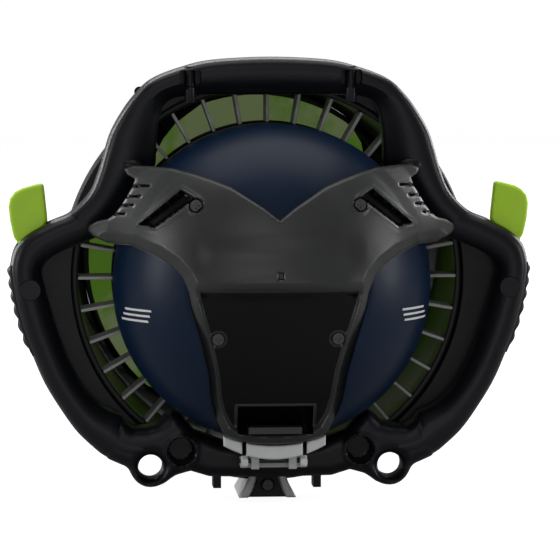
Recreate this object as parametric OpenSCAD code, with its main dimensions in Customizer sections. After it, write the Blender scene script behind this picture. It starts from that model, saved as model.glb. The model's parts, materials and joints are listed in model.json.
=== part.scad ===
// Underwater scooter: a ducted propeller behind a round battery nose, held by a ring frame.
// +Z is up, -Y is the way it travels, +X is its right as drawn. The origin is on the ground,
// under the middle of the machine. Outlines of the frame and cover are drawn around the drive
// axis, as [across, up] points seen from the nose, for one half, and mirrored.

/* [Overall] */
// Length from nose tip to tail tip
body_length = 396; // [390:2:420]
// Height of the drive axis above the ground
axis_height = 168; // [168:1:172]
// How far the nose tip stands in front of the frame's middle plane
nose_reach = 118; // [118:1:124]

/* [Frame] */
// Front-to-back depth of the ring frame
frame_depth = 36; // [34:1:38]
// Radius of the frame's rounded edges
frame_corner = 8; // [6:0.5:9]
// Radius of the two tether eyes
eye_bore_r = 9.25; // [8:0.25:11]
// Outer radius of a tether eye
eye_outer_r = 15; // [14:0.5:16]
// Radius of the two blind accessory sockets
socket_r = 10; // [8:0.5:10.5]

/* [Hull] */
// Radius of the nose dome and hull at their widest
dome_r = 118.5; // [116:0.5:118.5]
// Depth of the dome from its widest section to its tip
dome_depth = 90; // [86:1:90]
// Wall of the hull parts
hull_wall = 4; // [3:0.5:5]
// Thickness of the nose cover
cover_wall = 5; // [4:0.5:5]

/* [Duct] */
// Outer radius of the duct
duct_r = 155; // [154:0.5:156]
// Wall of the duct
duct_wall = 7; // [6:0.5:7]
// Number of intake fins
fin_count = 36; // [24:2:40]
// Thickness of an intake fin
fin_t = 2.4; // [2:0.1:3]
// Number of stator vanes behind the propeller
stator_count = 36; // [30:2:36]
// Depth of a stator vane along its slant
stator_chord = 30; // [26:1:30]
// Slant of the stator vanes
stator_tilt = 52; // [40:1:52]

/* [Drive] */
// Number of propeller blades
blade_count = 3; // [3:1:3]
// Radius of the propeller
prop_r = 130; // [128:1:137]
// Rise of a blade per full turn
prop_pitch = 150; // [140:5:180]
// Radius of the drive shaft
shaft_r = 3.97; // [3.95:0.01:3.98]

/* [Controls] */
// Radius of a trigger pin
pin_r = 2; // [1.8:0.1:2]
// Running gap around a pin
pin_gap = 0.05; // [0.03:0.01:0.08]

/* [Hidden] */
$fn = 64;

frame_y = -body_length / 2 + nose_reach;
front_y = frame_y - frame_depth / 2;
rear_y = frame_y + frame_depth / 2;
web_t = 6;
duct_y0 = rear_y + web_t;
duct_y1 = 160;
duct_in = duct_r - duct_wall;
nozzle_r = 134;
duct_staves = 16;
lip = 1.5;
nozzle_t = 1.5;
seam = 0.1;
dome_y = frame_y - 22;
hull_end_y = 72;
seat_r = 112.7;
shaft_bore_r = 4;
hub_r = 30;
prop_y = 92;
hub_y0 = 76;
hub_y1 = 112;
guard_y0 = 146;
guard_t = 8;
guard_in = [84, 88];
outlet_y0 = 139;
outlet_y1 = 158;
vane_l = 39.1;
fin_l = 28;
fin_rim = 26;
fin_top = 142.9;
fin_foot = 117;
foot_z = -158;
foot_insert_r = 9;
screw_r = 1.8;
screw_head_r = 4;
tail_y = body_length / 2;
pivot = [178, 31];
trigger_tilt = 30;
hinge_at = [frame_y - 42, -131];
gray_light = [0.78, 0.79, 0.8];
gray_mid = [0.42, 0.43, 0.45];
gray_dark = [0.22, 0.23, 0.25];
black = [0.05, 0.05, 0.06];
navy = [0.03, 0.06, 0.15];
lime = [0.62, 0.8, 0.2];

// Outer and inner edges of the ring frame, from the top middle down the right side.
ring_out = [
    [0, 167], [42, 165], [65, 160], [88, 151], [102, 138], [112, 124], [119, 111], [123, 99],
    [128, 82], [135, 66], [149, 52], [165, 45], [180, 37], [190, 27], [194, 13], [193, -3],
    [190, -19], [185, -37], [178, -55], [169, -76], [157, -96], [144, -114], [128, -129]
];
ring_in = [
    [0, 139], [38, 139], [60, 138.5], [75, 135], [81, 127], [84, 113], [85, 100], [86, 86],
    [94.5, 75], [108, 55], [123, 37], [140, 29], [157, 22], [167, 15], [170.5, 7], [168, -5],
    [164.5, -18], [160, -33], [154.5, -49], [147, -66], [137, -82], [126, -93], [112, -100]
];
shoulder = 10;
steps = 3;

// Outline of the nose cover: the notch, the right arm, the wing and the chin.
cover_edge = [
    [0, 53], [11, 61], [34, 76], [60, 85], [75, 88], [96, 88.5], [108, 86], [137, 40],
    [122, 31], [106, 31.5], [90, 26], [75, 16], [68, 7], [64, -11], [57, -35], [51, -60],
    [48, -83], [40, -108], [34, -114], [18, -119], [0, -120]
];
chin_edge = [
    [69, 12], [67, 7], [64, -11], [57, -35], [51, -60], [48, -83], [40, -108], [34, -114],
    [18, -119], [0, -120]
];
chin_top = [9, 119];
chin_low = [-83, 74];
chin_tilt = atan2(chin_top[1] - chin_low[1], chin_top[0] - chin_low[0]);
chin_floor = 8;
chin_pocket = 21;

function flip(p) = [for (q = p) [-q[0], q[1]]];
function reversed(p) = [for (i = [len(p) - 1:-1:0]) p[i]];
function slice(p, a, b) = [for (i = [a:b]) p[i]];
function curve(a, b, c, d, t) =
    0.5 * (2 * b + (c - a) * t + (2 * a - 5 * b + 4 * c - d) * t * t
    + (3 * b - a - 3 * c + d) * t * t * t);
function before(p, i) = i > 0 ? p[i - 1] : [-p[1][0], p[1][1]];
function smooth(p) = [
    for (i = [0:len(p) - 2], k = [0:steps - 1])
        curve(before(p, i), p[i], p[i + 1], p[min(i + 2, len(p) - 1)], k / steps),
    p[len(p) - 1]
];
ring_o = smooth(ring_out);
ring_i = smooth(ring_in);
cut = shoulder * steps;
last = len(ring_o) - 1;

// Points round one section of the frame: a rounded rectangle between the two edges.
function section(o, i) =
    let (a = norm(o - i) / 2, e = (o - i) / (2 * a), m = (o + i) / 2, b = frame_depth / 2)
    [
        for (q = [0:3], k = [0:4])
            let (
                t = 90 * q + 22.5 * k,
                su = (q == 0 || q == 3) ? 1 : -1,
                sv = q < 2 ? 1 : -1,
                u = su * (a - frame_corner) + frame_corner * cos(t),
                v = sv * (b - frame_corner) + frame_corner * sin(t)
            )
            [m[0] + e[0] * u, frame_y + v, m[1] + e[1] * u]
    ];

// A closed tube through rings of k points each.
module skin(rings) {
    n = len(rings);
    k = len(rings[0]);
    quads = [for (i = [0:n - 2], j = [0:k - 1]) let (m = (j + 1) % k)
        [i * k + j, (i + 1) * k + j, (i + 1) * k + m, i * k + m]];
    sides = [for (q = quads) each [[q[0], q[1], q[2]], [q[0], q[2], q[3]]]];
    caps = [[for (j = [0:k - 1]) j], [for (j = [k - 1:-1:0]) (n - 1) * k + j]];
    polyhedron([for (r = rings) each r], concat(caps, sides));
}

module up() {
    translate([0, 0, axis_height]) children();
}

// Turns a profile of [radius, y] points about the drive axis.
module turned(profile) {
    up() rotate([-90, 0, 0]) rotate_extrude($fn = 128) polygon(profile);
}

// Turns a profile in equal panels, with a narrow seam between them.
module panels(profile, count = 4) {
    span = 360 / count;
    up() rotate([-90, 0, 0]) for (k = [0:count - 1]) rotate([0, 0, span * k + seam / 2])
        rotate_extrude(angle = span - seam, $fn = 128) polygon(profile);
}

// A ring in four panels, between two radii and two planes.
module ring_panels(inner, outer, y0, y1) {
    panels([[inner, y0], [outer, y0], [outer, y1], [inner, y1]]);
}

module rod(r, y0, y1, x = 0, z = 0) {
    up() translate([x, y0, z]) rotate([-90, 0, 0])
        cylinder(r = r, h = y1 - y0, $fn = r > 60 ? 256 : 64);
}

module tube(r, hole, y0, y1, x = 0, z = 0) {
    difference() {
        rod(r, y0, y1, x, z);
        rod(hole, y0 - 1, y1 + 1, x, z);
    }
}

// Extrudes a front-view outline from y0 to y1.
module plate(y0, y1) {
    up() translate([0, y1, 0]) rotate([90, 0, 0]) linear_extrude(y1 - y0) children();
}

module both() {
    children();
    mirror([1, 0, 0]) children();
}

// Places its children at the trigger pivot on the right, with local x along the pin.
module at_pivot() {
    up() translate([pivot[0], frame_y, pivot[1]]) rotate([0, trigger_tilt, 0]) children();
}

module pin_rod(r, x0, x1) {
    at_pivot() translate([x0, 0, 0]) rotate([0, 90, 0]) cylinder(r = r, h = x1 - x0);
}

// Everything in front of a plane that lies depth below the chin's rails.
module before_chin(depth) {
    up() translate([0, frame_y - chin_top[1], chin_top[0]]) rotate([chin_tilt, 0, 0])
        translate([-150, depth - 150, -250]) cube([300, 150, 400]);
}

// ---- Frame ----

module frame_arch() {
    o = concat(reversed(flip(slice(ring_o, 1, cut))), slice(ring_o, 0, cut));
    i = concat(reversed(flip(slice(ring_i, 1, cut))), slice(ring_i, 0, cut));
    color(black) difference() {
        up() skin([for (s = [0:len(o) - 1]) section(o[s], i[s])]);
        both() plate(front_y - 1, front_y + 14) translate([52, 146]) square([16, 12]);
        both() up() translate([60, front_y + 7, 130]) cylinder(r = 4, h = 30);
    }
}

module lanyard_posts() {
    color(gray_dark) both() up() translate([60, front_y + 7, 134]) cylinder(r = 4, h = 25.8);
}

module handle_body() {
    difference() {
        up() skin([for (s = [cut:last]) section(ring_o[s], ring_i[s])]);
        at_pivot() translate([-19.5, -8, -9.5]) cube([31.5, 16, 50]);
        pin_rod(pin_r, -23, 14);
        rod(7.7, front_y - 1, front_y + 3, 179.5, -5);
    }
}

module handle_right() {
    color(black) handle_body();
}

module handle_left() {
    color(black) mirror([1, 0, 0]) handle_body();
}

base_out = [
    [113, -137], [104, -141], [92, -150], [80, -149.5], [70, -145.5], [60, -142.7], [46, -147],
    [0, -148]
];
base_in = [[98, -103], [80, -107], [60, -113], [36, -121], [0, -125]];
eye = [90, -139.5];
socket = [67, -127];

module frame_base() {
    half = concat([ring_in[22], ring_out[22]], base_out);
    inner = reversed(base_in);
    color(black) difference() {
        union() {
            both() plate(front_y, rear_y) polygon(concat(half, inner));
            both() rod(eye_outer_r, front_y, rear_y, eye[0], eye[1]);
            both() rod(13.5, front_y, rear_y, socket[0], socket[1]);
        }
        both() rod(eye_bore_r, front_y - 1, rear_y + 1, eye[0], eye[1]);
        both() rod(socket_r, front_y - 1, front_y + 22, socket[0], socket[1]);
    }
}

module back_web() {
    line = (ring_o + ring_i) / 2;
    low = (ring_in[22] + ring_out[22]) / 2;
    color(black) difference() {
        plate(rear_y, duct_y0) polygon(concat(line, [low], reversed(flip(line))));
        rod(duct_in, rear_y - 1, duct_y0 + 1);
        for (s = web_screws) both() rod(screw_r, rear_y - 1, duct_y0 + 1, s[0], s[1]);
    }
}

web_screws = [[174, 12], [165, -40], [96, 140]];

module frame_screws() {
    color(gray_mid) for (s = web_screws) both() difference() {
        union() {
            rod(screw_head_r, duct_y0, duct_y0 + 2.4, s[0], s[1]);
            rod(screw_r, rear_y, duct_y0, s[0], s[1]);
        }
        cross_slot(duct_y0 + 2.4, s[0], s[1]);
    }
}

// A cross recess cut 1.4 mm either side of the plane y.
module cross_slot(y, x, z) {
    up() translate([x, y, z]) {
        cube([5, 2.8, 1], center = true);
        cube([1, 2.8, 5], center = true);
    }
}

module grip_half() {
    s0 = 14 * steps;
    s1 = 18 * steps;
    rings = [
        for (s = [s0:s1])
            let (o = ring_o[s], e = (o - ring_i[s]) / norm(o - ring_i[s]), t = s % 2 == 0 ? 1 : 2.4)
            [
                [o[0], frame_y - 9, o[1]],
                [o[0] + e[0] * t, frame_y - 9, o[1] + e[1] * t],
                [o[0] + e[0] * t, frame_y + 9, o[1] + e[1] * t],
                [o[0], frame_y + 9, o[1]]
            ]
    ];
    up() skin([for (r = rings) reversed(r)]);
}

module grip_pads() {
    color([0.09, 0.09, 0.1]) both() grip_half();
}

module grip_caps() {
    color(gray_dark) both() rod(7.6, front_y - 0.6, front_y + 3, 179.5, -5);
}

// ---- Nose and hull ----

function dome_profile(r, depth) = concat(
    [for (t = [0:3:90]) [r * sin(t), dome_y - depth * cos(t)]],
    [[r, dome_y + 3], [0, dome_y + 3]]
);

// A block behind the chin's outline, grown sideways and upwards, down to a depth under the rails.
module chin_block(grow, depth) {
    line = slice(chin_edge, 0, 6);
    half = concat(
        [[line[0][0] + grow, line[0][1] + grow]],
        [for (p = line) [p[0] + grow, p[1]]],
        [[line[6][0] + grow, -150]]
    );
    intersection() {
        plate(dome_y - 150, dome_y + 60) polygon(concat(half, reversed(flip(half))));
        before_chin(depth);
    }
}

screw_spots = [[60, 63, 88], [44, -35, 88.5]];

module nose_dome() {
    color(navy) difference() {
        turned(dome_profile(dome_r, dome_depth));
        difference() {
            translate([0, 0.01, 0])
                turned(dome_profile(dome_r - hull_wall, dome_depth - hull_wall));
            chin_block(hull_wall, chin_pocket + hull_wall);
        }
        chin_block(0.4, chin_pocket);
        for (s = screw_spots) both() rod(1.8, frame_y - 120, frame_y - s[2] + 14, s[0], s[1]);
    }
}

cover_profile = concat(
    [for (t = [0:3:63]) [(dome_r + 6) * sin(t), dome_y - (dome_depth + 6) * cos(t)]],
    [[118, frame_y - 57], [142, frame_y - 26], [150, frame_y - 24]]
);
function inward(p) = [for (q = p) [q[0], q[1] + cover_wall]];

// The cover's arms lie over the dome, and its wings flare out to the frame's shoulders.
module cover_shell() {
    intersection() {
        turned(concat(cover_profile, reversed(inward(cover_profile))));
        plate(frame_y - 130, frame_y) polygon(concat(cover_edge, reversed(flip(cover_edge))));
    }
}

module chin_slab(edge_w, y0, y1) {
    inset = [for (p = chin_edge) [max(p[0] - edge_w, 0), p[1] + (p[1] < 0 ? edge_w * 0.4 : 0)]];
    half = concat([[0, chin_edge[0][1]]], inset);
    intersection() {
        plate(frame_y - 130, frame_y - 20) polygon(concat(half, reversed(flip(half))));
        difference() {
            before_chin(y1);
            before_chin(y0);
        }
    }
}

gills = [[100, 77, 13], [107, 70, 10], [112.5, 63.6, 9], [118, 56.8, 9]];

module nose_cover() {
    color(gray_dark) difference() {
        union() {
            difference() {
                cover_shell();
                before_chin(0);
            }
            intersection() {
                turned(concat(cover_profile, [[150, frame_y], [0, frame_y]]));
                difference() {
                    chin_slab(0, 0, chin_floor + 4);
                    chin_slab(6, -1, chin_floor);
                }
            }
        }
        both() plate(frame_y - 130, frame_y) polygon([[103, 49], [93, 48.5], [61, 74], [70, 76]]);
        both() for (g = gills) plate(frame_y - 130, frame_y) translate([g[0] - g[2] / 2, g[1]])
            square([g[2], 2.4]);
        plate(frame_y - 130, frame_y) translate([-28, -109]) square([56, 21]);
        plate(frame_y - 130, frame_y) translate([-2, 11]) square([4, 5]);
        for (s = screw_spots) both() {
            rod(2, frame_y - 130, frame_y, s[0], s[1]);
            rod(5, frame_y - 130, frame_y - s[2] + 1, s[0], s[1]);
        }
    }
}

module cover_screws() {
    color(gray_mid) for (s = screw_spots) both() difference() {
        union() {
            rod(4.2, frame_y - s[2] - 1.6, frame_y - s[2] + 1, s[0], s[1]);
            rod(screw_r, frame_y - s[2], frame_y - s[2] + 12, s[0], s[1]);
        }
        cross_slot(frame_y - s[2] - 1.6, s[0], s[1]);
    }
}

module status_light() {
    color([0.02, 0.02, 0.03]) plate(frame_y - 116.4, frame_y - 113.2) translate([-2, 11])
        square([4, 5]);
}

module latch_tongue() {
    color(gray_mid) plate(frame_y - 60, frame_y - 46) translate([-20, -108.8]) square([40, 5]);
}

hull_line = [
    [dome_r, dome_y + 3], [dome_r - 1, dome_y + 22], [seat_r, duct_y0 - 4], [seat_r, duct_y0 + 34],
    [104, 0], [93, 22], [78, 44], [60, 62], [44, hull_end_y]
];

module hull_shell() {
    inner = [for (p = hull_line) [p[0] - hull_wall, p[1]]];
    rim = [inner[7], [inner[8][0], hull_end_y - hull_wall], [10, hull_end_y - hull_wall]];
    color(black) turned(concat(
        hull_line, [[10, hull_end_y]], reversed(rim), reversed(slice(inner, 0, 6))
    ));
}

module hull_seal() {
    r = dome_r - hull_wall;
    color([0.25, 0.08, 0.05]) turned([
        [r - 5, dome_y - 1], [r - 0.6, dome_y - 1], [r - 0.6, dome_y + 3], [r - 1, dome_y + 7],
        [r - 5, dome_y + 7]
    ]);
}

// ---- Duct ----

// The duct's outer line from mouth to nozzle and its inner line back, as [radius, y] points.
duct_outer = [
    [duct_r - lip, duct_y0], [duct_r, duct_y0 + lip], [duct_r, -30], [149, 40], [144.5, 110],
    [nozzle_r + nozzle_t + 2 * lip, duct_y1 - 2 * lip], [nozzle_r + nozzle_t + lip, duct_y1]
];
duct_inner = [
    [nozzle_r + lip, duct_y1], [nozzle_r, duct_y1 - lip], [nozzle_r, 144], [139.5, 112], [139.8, 75],
    [142, 40], [duct_in, -30], [duct_in, duct_y0]
];

module duct_shell() {
    color(black) panels(concat(duct_outer, duct_inner), duct_staves);
}

// The duct's outside as one solid, grown by a fitting gap, for cutting what sits on it.
module duct_solid() {
    grown = [for (p = duct_outer) [p[0] + 0.02, p[1]]];
    turned(concat([[0, duct_y0]], grown, [[0, duct_y1]]));
}

module guard_rings() {
    color(gray_mid) {
        ring_panels(fin_top + 0.1, duct_in, duct_y0, duct_y0 + fin_rim);
        ring_panels(seat_r + 0.05, fin_foot, duct_y0, duct_y0 + fin_rim);
    }
}

module intake_fins() {
    color(gray_light) for (k = [0:fin_count - 1]) up() rotate([0, k * 360 / fin_count, 0])
        translate([-fin_t / 2, duct_y0 - 2, fin_foot]) cube([fin_t, fin_l, fin_top - fin_foot]);
}

module rear_ring() {
    color(gray_dark) {
        ring_panels(nozzle_r - 6, nozzle_r, outlet_y0, outlet_y1);
        ring_panels(guard_in[0], guard_in[1], guard_y0, guard_y0 + guard_t);
    }
}

module rear_vanes() {
    color(gray_dark) for (k = [0:11]) up() rotate([0, k * 30, 0])
        translate([-1.5, guard_y0, hub_r - 0.2]) cube([3, guard_t, guard_in[0] - hub_r]);
    color(gray_dark) for (k = [0:stator_count - 1]) up() rotate([0, k * 360 / stator_count, 0])
        translate([0, guard_y0 + guard_t / 2, guard_in[1]]) rotate([0, 0, stator_tilt])
            translate([-1.5, -stator_chord / 2, 0]) cube([3, stator_chord, vane_l]);
}

module tail_cone() {
    cone_y = guard_y0 + guard_t;
    color(navy) difference() {
        turned(concat(
            [[0, guard_y0], [hub_r - 0.3, guard_y0], [hub_r - 0.3, cone_y]],
            [for (t = [0:6:90]) [(hub_r - 2) * cos(t), cone_y + (tail_y - cone_y) * sin(t)]]
        ));
        rod(3, guard_y0 - 1, guard_y0 + 12);
    }
}

module tail_screw() {
    color(gray_mid) rod(2.98, guard_y0 + 1, guard_y0 + 12);
    color(gray_mid) rod(5, guard_y0 - 3, guard_y0);
    color(gray_mid) rod(2.98, guard_y0, guard_y0 + 1);
}

module foot_pedestal() {
    half = [[13, -145], [14, -152], [17.5, -160], [22, -axis_height]];
    color(gray_light) difference() {
        plate(rear_y, 0) polygon(concat(half, reversed(flip(half))));
        duct_solid();
        rod(foot_insert_r, rear_y - 1, rear_y + 4, 0, foot_z);
    }
}

module foot_insert() {
    color(black) difference() {
        rod(foot_insert_r - 0.05, rear_y + 1, rear_y + 4, 0, foot_z);
        rod(2, rear_y, rear_y + 5, 0, foot_z);
    }
}

module foot_screw() {
    color(gray_mid) difference() {
        union() {
            rod(screw_head_r, rear_y - 1.2, rear_y + 1, 0, foot_z);
            rod(1.95, rear_y + 1, rear_y + 4, 0, foot_z);
        }
        cross_slot(rear_y - 1.2, 0, foot_z);
    }
}

module duct_lugs() {
    color(black) both() difference() {
        plate(duct_y0, duct_y0 + 18) translate([35, -161]) square([6, 15]);
        rod(duct_r + 0.02, duct_y0 - 1, duct_y0 + 19);
    }
}

module rear_feet() {
    color([0.08, 0.08, 0.09]) both() difference() {
        plate(104, 138) translate([48, -axis_height]) square([16, 48]);
        duct_solid();
    }
}

// ---- Charging flap ----

module hinge_bracket() {
    color(gray_mid) difference() {
        union() {
            plate(hinge_at[0] + 6, front_y) translate([-24, -137]) square([48, 6]);
            both() plate(hinge_at[0] - 4, hinge_at[0] + 7) translate([11, -137]) square([6, 10]);
        }
        up() translate([-30, hinge_at[0], hinge_at[1]]) rotate([0, 90, 0]) cylinder(r = 1.8, h = 60);
    }
}

module hinge_pin() {
    color(gray_mid) up() translate([-26, hinge_at[0], hinge_at[1]]) rotate([0, 90, 0])
        cylinder(r = 1.8, h = 52);
}

module charge_socket() {
    color(black) difference() {
        plate(hinge_at[0] - 5, hinge_at[0] + 20) translate([-8, -128.5]) square([16, 7]);
        plate(hinge_at[0] - 6, hinge_at[0] + 6) translate([-6.3, -127]) square([12.6, 4]);
    }
}

module charge_flap() {
    top = [for (x = [-36:4:36]) [x, -121.4 + 6.8 * pow(x / 36, 2)]];
    low = [for (x = [35:-5:-35]) [x, -129 + 9 * pow(x / 35, 2)]];
    color(gray_light) difference() {
        union() {
            plate(hinge_at[0] - 11, hinge_at[0] - 7) polygon(concat(top, low));
            both() up() translate([19.5, hinge_at[0], hinge_at[1]]) {
                rotate([0, 90, 0]) cylinder(r = 3.8, h = 5);
                translate([0, -10, -1.5]) cube([5, 9, 4]);
                translate([0, -11, -1.5]) cube([5, 4, 12]);
            }
        }
        up() translate([-40, hinge_at[0], hinge_at[1]]) rotate([0, 90, 0])
            cylinder(r = 1.8 + pin_gap, h = 80);
    }
}

// ---- Triggers ----

paddle = [
    [173, 30], [170, 38], [166, 46], [167, 60], [168.4, 71], [170.5, 73.4], [174, 72.8],
    [185, 69.8], [190, 67], [193.8, 62.5], [195, 57], [194, 46], [191.5, 34], [189, 31], [185, 27]
];

module trigger_half() {
    difference() {
        union() {
            plate(frame_y - 3, frame_y + 3) polygon(paddle);
            pin_rod(5, -13, 10);
        }
        pin_rod(pin_r + pin_gap, -20, 20);
        at_pivot() translate([0, 0, -6]) cylinder(r = 1.5, h = 3);
    }
}

module trigger_right() {
    color(lime) trigger_half();
}

module trigger_left() {
    color(lime) mirror([1, 0, 0]) trigger_half();
}

module trigger_pins() {
    color(gray_mid) both() pin_rod(pin_r, -23, 14);
}

module spring_half() {
    difference() {
        pin_rod(3.4, -18.5, -13.2);
        pin_rod(2.2, -19, -13);
    }
}

module trigger_springs() {
    color(gray_mid) both() spring_half();
}

module magnet_right() {
    color(gray_mid) at_pivot() translate([0, 0, -4.9]) cylinder(r = 1.5, h = 1.9);
}

module magnet_left() {
    mirror([1, 0, 0]) magnet_right();
}

module trigger_sensors() {
    color(gray_dark) both() at_pivot() translate([-4, -2, -9.5]) cube([8, 4, 2.5]);
}

// ---- Console on top of the duct, behind the arch ----

module console() {
    color(black) difference() {
        plate(duct_y0, duct_y0 + 44) polygon([[-30, 140], [-28, 161], [28, 161], [30, 140]]);
        duct_solid();
        up() translate([0, duct_y0 + 13, 156.5]) cylinder(r = 7.2, h = 10);
        up() translate([-12, duct_y0 + 25, 159]) cube([24, 12, 4]);
    }
}

module power_button() {
    color(lime) up() translate([0, duct_y0 + 13, 158.2]) cylinder(r = 7, h = 4);
}

module console_lens() {
    color([0.02, 0.02, 0.03]) up() translate([-12, duct_y0 + 25, 159]) cube([24, 12, 2.3]);
}

// ---- Inside the hull ----

cell_r = 9.2;
cell_pitch = 19.5;
cell_spots = [
    for (row = [-2:2], col = [-3:3])
        let (p = [(col + (abs(row) % 2) / 2) * cell_pitch, row * cell_pitch * sin(60)])
        if (norm(p) < 52) p
];
cells_y0 = -98;
cells_y1 = -33;

module battery_cells() {
    color([0.2, 0.35, 0.6]) for (p = cell_spots) rod(cell_r, cells_y0, cells_y1, p[0], p[1]);
}

module battery_trays() {
    color([0.15, 0.15, 0.16]) {
        rod(67.5, cells_y0 - 5, cells_y0);
        rod(67.5, cells_y1, cells_y1 + 5);
        for (a = [0:90:270]) rod(2.5, cells_y0, cells_y1, 64.5 * cos(a + 45), 64.5 * sin(a + 45));
    }
}

module control_board() {
    color([0.05, 0.3, 0.12]) rod(50, cells_y1 + 9, cells_y1 + 10.6);
    color([0.1, 0.1, 0.1]) for (x = [-30, 0, 22]) up()
        translate([x, cells_y1 + 10.6, -10]) cube([14, 5, 18]);
}

module motor_mount() {
    color(gray_mid) difference() {
        rod(93, 0, 5);
        rod(33, -1, 6);
        for (a = [0:60:300]) rod(16, -1, 6, 62 * cos(a), 62 * sin(a));
    }
}

module motor_can() {
    color([0.6, 0.62, 0.64]) difference() {
        rod(33, 0, 60);
        rod(30, 3, 57);
        rod(11, -1, 61);
    }
}

module stator() {
    color([0.5, 0.5, 0.52]) tube(30, 18, 14, 46);
}

module windings() {
    color([0.75, 0.4, 0.15]) {
        tube(29, 19, 8, 14);
        tube(29, 19, 46, 52);
    }
}

module bearings() {
    color([0.7, 0.72, 0.74]) {
        tube(11, shaft_bore_r, 0, 7);
        tube(11, shaft_bore_r, 53, 60);
    }
}

module shaft_seal() {
    color([0.1, 0.1, 0.1]) tube(9.98, shaft_bore_r + 0.02, hull_end_y - 9, hull_end_y);
}

module rotor() {
    color([0.35, 0.36, 0.38]) tube(17, shaft_r, 14, 46);
}

module drive_shaft() {
    color([0.75, 0.77, 0.8]) difference() {
        rod(shaft_r, -2, 122);
        cross_pin(1.5);
    }
}

module cross_pin(r) {
    up() translate([-12, hub_y0 + 5, 0]) rotate([0, 90, 0]) cylinder(r = r, h = 24);
}

module drive_pin() {
    color([0.75, 0.77, 0.8]) cross_pin(1.5);
}

blade_rings = 9;
blade_root_r = 24;
blade_w = 106;
blade_turn = -13;

// Points round a blade's section at share s of the way out, first over one face, then back.
function blade_ring(s, spin) =
    let (
        r = blade_root_r + (prop_r - blade_root_r) * s,
        w = blade_w * (0.55 + 0.45 * sin(90 * min(1, s * 1.6))) * sqrt(1 - pow(s, 7) * 0.72),
        skew = 22 * s * s,
        thick = 3.6 - 2.4 * s
    )
    [
        for (k = [0:11])
            let (
                c = k < 6 ? -1 + k / 3 : 1 - (k - 6) / 3,
                side = k < 6 ? 1 : -1,
                a = spin + skew + c * w / 2,
                y = prop_y + c * w / 720 * prop_pitch + side * thick * sqrt(max(0, 1 - c * c))
            )
            [r * sin(a), y, r * cos(a)]
    ];

module blade(spin) {
    rings = [for (i = [0:blade_rings]) blade_ring(i / blade_rings, spin)];
    up() skin([for (r = rings) reversed(r)]);
}

module propeller() {
    color(lime) difference() {
        union() {
            for (k = [0:blade_count - 1]) blade(blade_turn + k * 360 / blade_count);
            turned([[0, hub_y0], [hub_r, hub_y0], [hub_r, hub_y1 - 6], [hub_r - 6, hub_y1], [0, hub_y1]]);
        }
        rod(shaft_r, hub_y0 - 1, hub_y1 + 1);
        cross_pin(1.5);
    }
}

module prop_nut() {
    color([0.75, 0.77, 0.8]) difference() {
        up() translate([0, hub_y1, 0]) rotate([-90, 0, 0]) cylinder(r = 8, h = 8, $fn = 6);
        rod(shaft_r, hub_y1 - 1, hub_y1 + 9);
    }
}

frame_arch();
handle_left();
handle_right();
frame_base();
back_web();
frame_screws();
grip_pads();
grip_caps();
lanyard_posts();
nose_dome();
nose_cover();
cover_screws();
status_light();
latch_tongue();
hull_shell();
hull_seal();
duct_shell();
guard_rings();
intake_fins();
rear_ring();
rear_vanes();
tail_cone();
tail_screw();
foot_pedestal();
foot_insert();
foot_screw();
duct_lugs();
rear_feet();
hinge_bracket();
hinge_pin();
charge_socket();
charge_flap();
trigger_left();
trigger_right();
trigger_pins();
trigger_springs();
magnet_left();
magnet_right();
trigger_sensors();
console();
console_lens();
power_button();
battery_cells();
battery_trays();
control_board();
motor_mount();
motor_can();
stator();
windings();
bearings();
shaft_seal();
rotor();
drive_shaft();
propeller();
drive_pin();
prop_nut();
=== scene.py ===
"""Underwater scooter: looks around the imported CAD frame. Metres, +Z up, nose towards -Y."""
import json
import math

import bmesh
import bpy
import numpy as np
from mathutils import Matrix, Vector


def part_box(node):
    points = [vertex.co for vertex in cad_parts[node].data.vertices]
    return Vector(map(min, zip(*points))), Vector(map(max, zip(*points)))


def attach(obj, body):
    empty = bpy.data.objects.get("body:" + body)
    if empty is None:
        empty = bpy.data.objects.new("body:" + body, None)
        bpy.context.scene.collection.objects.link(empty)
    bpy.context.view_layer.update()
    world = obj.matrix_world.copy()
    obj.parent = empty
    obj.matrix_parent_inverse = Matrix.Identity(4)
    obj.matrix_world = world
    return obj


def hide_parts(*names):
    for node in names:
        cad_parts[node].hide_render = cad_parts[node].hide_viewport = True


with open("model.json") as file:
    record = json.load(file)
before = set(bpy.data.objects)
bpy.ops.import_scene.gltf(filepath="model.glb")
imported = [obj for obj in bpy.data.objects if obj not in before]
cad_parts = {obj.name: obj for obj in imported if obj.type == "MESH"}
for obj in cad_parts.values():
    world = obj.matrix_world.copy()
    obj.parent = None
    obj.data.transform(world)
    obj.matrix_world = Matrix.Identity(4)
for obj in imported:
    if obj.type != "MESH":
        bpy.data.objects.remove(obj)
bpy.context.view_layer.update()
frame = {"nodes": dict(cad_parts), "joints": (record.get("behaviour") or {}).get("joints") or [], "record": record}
MM = 0.001
NODES = frame["nodes"]
SIDES = ((-1, "left"), (1, "right"))


def joint_place(name):
    """Where a joint sits in the frame, in metres."""
    return next(j for j in frame["joints"] if j["name"] == name)["pos_m"]


# ---- Camera, lights and stage ----

AZIMUTH, ELEVATION = math.radians(-4.3), math.radians(5.5)
CAMERA_DISTANCE, VIEW_WIDTH, SENSOR = 3.2, 0.420, 36.0
AIM_X, AIM_BEHIND_FRONT, AIM_Z = 0.0079, 0.018, 0.1677
STAGE_GLOW, STAGE_GREY, WORLD_GLOW = 0.93, 0.4, 0.12
STAGE_HALF_WIDTH, FLOOR_FRONT, FLOOR_BACK = 4.5, -4.5, 4.2
SWEEP_R, WALL_TOP, FLOOR_DROP = 0.8, 4.0, 0.0005


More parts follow.
